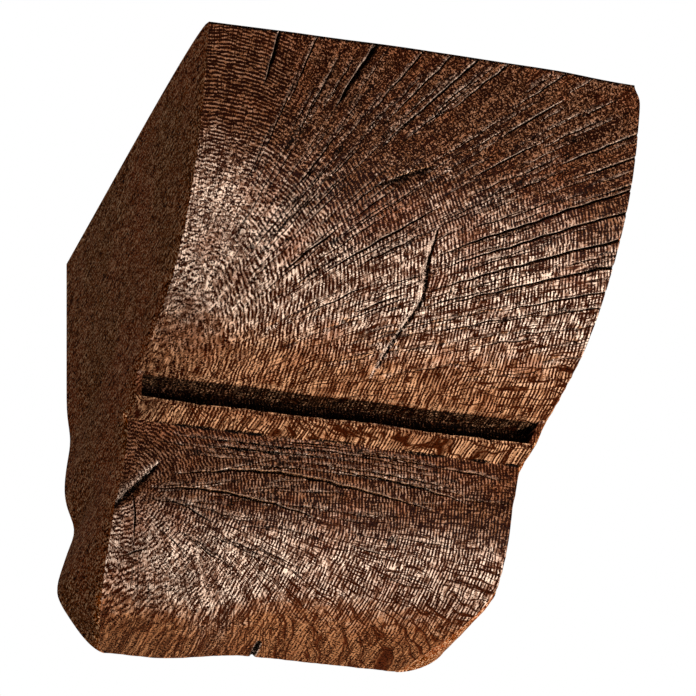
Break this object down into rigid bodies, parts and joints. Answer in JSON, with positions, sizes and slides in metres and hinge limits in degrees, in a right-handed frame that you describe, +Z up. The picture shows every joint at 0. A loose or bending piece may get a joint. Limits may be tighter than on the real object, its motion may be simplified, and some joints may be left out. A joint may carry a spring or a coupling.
{
  "type": "corbel",
  "caption": "Timber wall corbel carved with an upper roll, a sunk groove, a thin fillet and a lower roll; flat top and back, hewn sides, stained dark brown.",
  "frame": {"origin": "middle of the flat back, on the wall plane", "axes": "+Y into the wall, +Z up to the flat top that carries the load, +X to the right as seen from the front"},
  "size_m": [0.196, 0.2197, 0.1875],
  "materials": {
    "stained_timber": "dark brown stain on end grain, matt to low satin"
  },
  "bodies": {
    "root": {"corbel": "stained_timber"}
  },
  "joints": []
}
